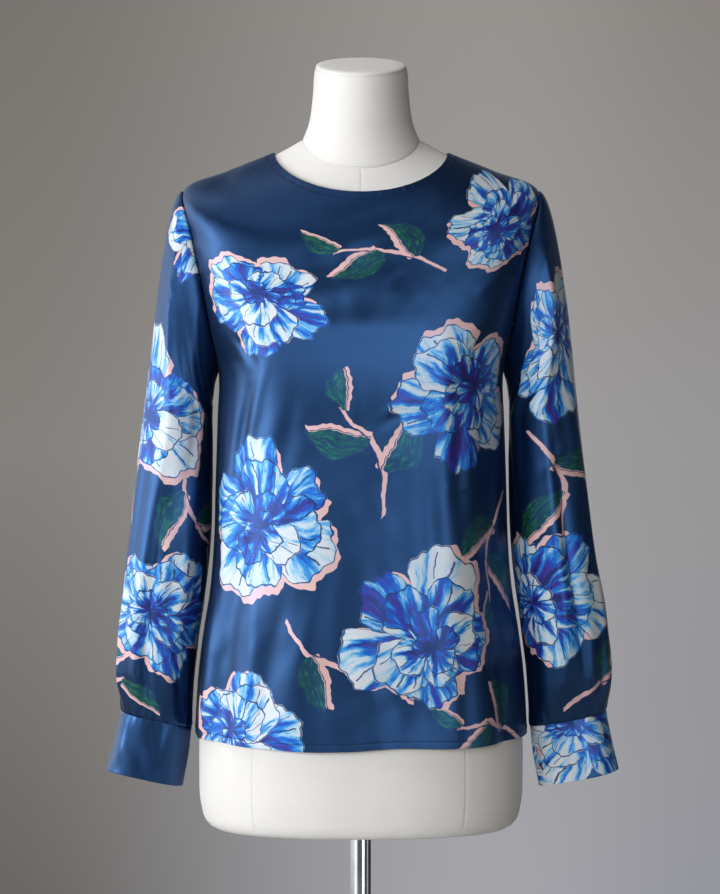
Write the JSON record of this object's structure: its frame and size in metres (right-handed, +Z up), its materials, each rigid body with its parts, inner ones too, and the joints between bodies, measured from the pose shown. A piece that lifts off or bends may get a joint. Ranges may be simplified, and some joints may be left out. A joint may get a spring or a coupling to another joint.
{
  "type": "long-sleeved blouse on a limbless dress form and stand",
  "caption": "Long-sleeved round-neck satin blouse with buttoned cuffs, resting on a limbless dress form that stands on a steel pole and a round base.",
  "frame": {"origin": "middle of the stand base's underside, on the floor", "axes": "+Z up along the pole, -Y the way the blouse faces, +X the wearer's left"},
  "size_m": [0.5456, 0.34, 1.3715],
  "materials": {
    "satin": "navy satin weave with a printed floral",
    "button": "dyed navy, polished",
    "form_cover": "matt off-white stretched cotton",
    "steel": "satin polished"
  },
  "bodies": {
    "root": {"front": "satin", "back": "satin", "sleeve_left": "satin", "sleeve_right": "satin", "cuff_left": "satin", "cuff_right": "satin", "loop_neck": "satin", "button_neck": "button", "button_cuff_left": "button", "button_cuff_right": "button", "form_body": "form_cover", "form_neck": "form_cover", "stand_pole": "steel", "stand_base": "steel"}
  },
  "joints": []
}
